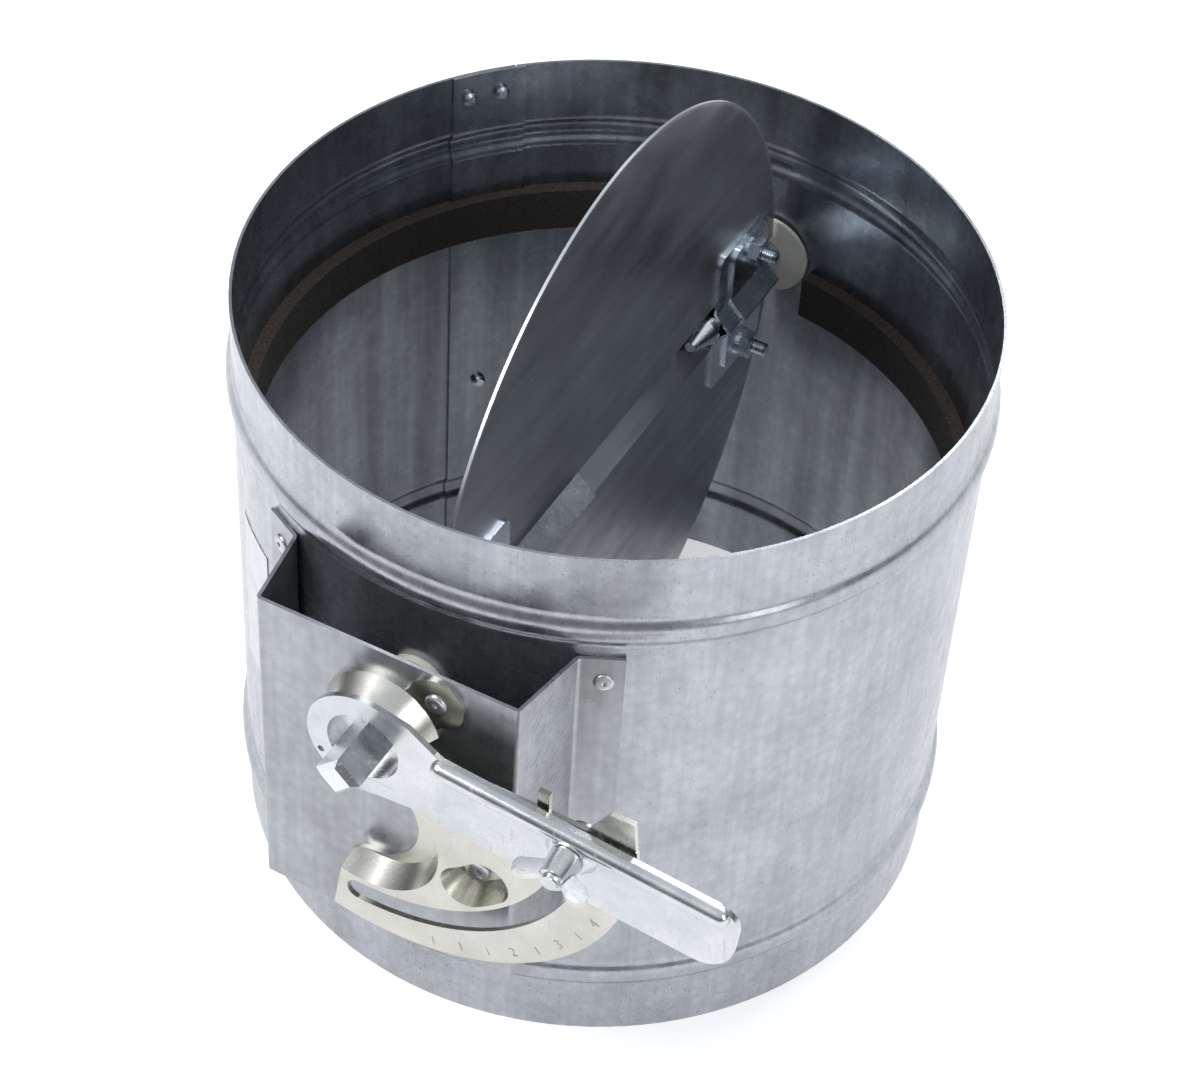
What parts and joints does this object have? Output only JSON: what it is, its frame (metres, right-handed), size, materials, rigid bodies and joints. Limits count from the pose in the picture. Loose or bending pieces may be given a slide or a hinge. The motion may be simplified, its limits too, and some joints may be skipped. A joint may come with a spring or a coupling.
{
  "type": "volume control damper",
  "caption": "Round butterfly damper for a 250 mm duct: beaded casing, disc blade on a split shaft, and a lever that locks on a slotted quadrant.",
  "frame": {"origin": "centre of the casing's bottom rim", "axes": "+Z along the duct, the shaft along Y, the lever on the -Y side and pointing to +X when open"},
  "size_m": [0.2563, 0.3085, 0.2797],
  "materials": {
    "galvanised_sheet": "dull spangled zinc",
    "blade_sheet": "smooth grey zinc",
    "shaft_bar": "drawn steel, satin",
    "zinc_plate": "bluish zinc plate, satin",
    "yellow_zinc": "yellowish zinc plate, satin",
    "bright_zinc": "bright zinc plate",
    "rivet_metal": "satin",
    "seal_foam": "matt foam",
    "nylon": "off-white, matt"
  },
  "bodies": {
    "root": {"casing": "galvanised_sheet", "seam_rivets": "rivet_metal", "left_seal": "seal_foam", "right_seal": "seal_foam", "far_bushing": "nylon", "standoff_bracket": "galvanised_sheet", "bracket_rivets": "rivet_metal", "quadrant_plate": "yellow_zinc", "quadrant_rivets": "rivet_metal"},
    "rotor": {"blade": "blade_sheet", "drive_shaft": "shaft_bar", "end_shaft": "shaft_bar", "near_bushing": "nylon", "near_clamp_strap": "zinc_plate", "far_clamp_strap": "zinc_plate", "near_clamp_saddle": "zinc_plate", "far_clamp_saddle": "zinc_plate", "clamp_bolts": "zinc_plate", "clamp_washers": "zinc_plate", "clamp_nuts": "zinc_plate", "lever": "bright_zinc", "lock_bolt": "bright_zinc"},
    "wing_nut": {"wing_nut": "bright_zinc"}
  },
  "joints": [
    {"name": "blade_turn", "type": "hinge", "parent": "root", "child": "rotor", "pos_m": [0, 0, 0.1565], "axis": [0, 1, 0], "range_deg": [0, 90]},
    {"name": "wing_nut_turn", "type": "hinge", "parent": "rotor", "child": "wing_nut", "pos_m": [0.07353, -0.1625, 0.15329], "axis": [0, -1, 0], "range_deg": [0, 360]}
  ]
}
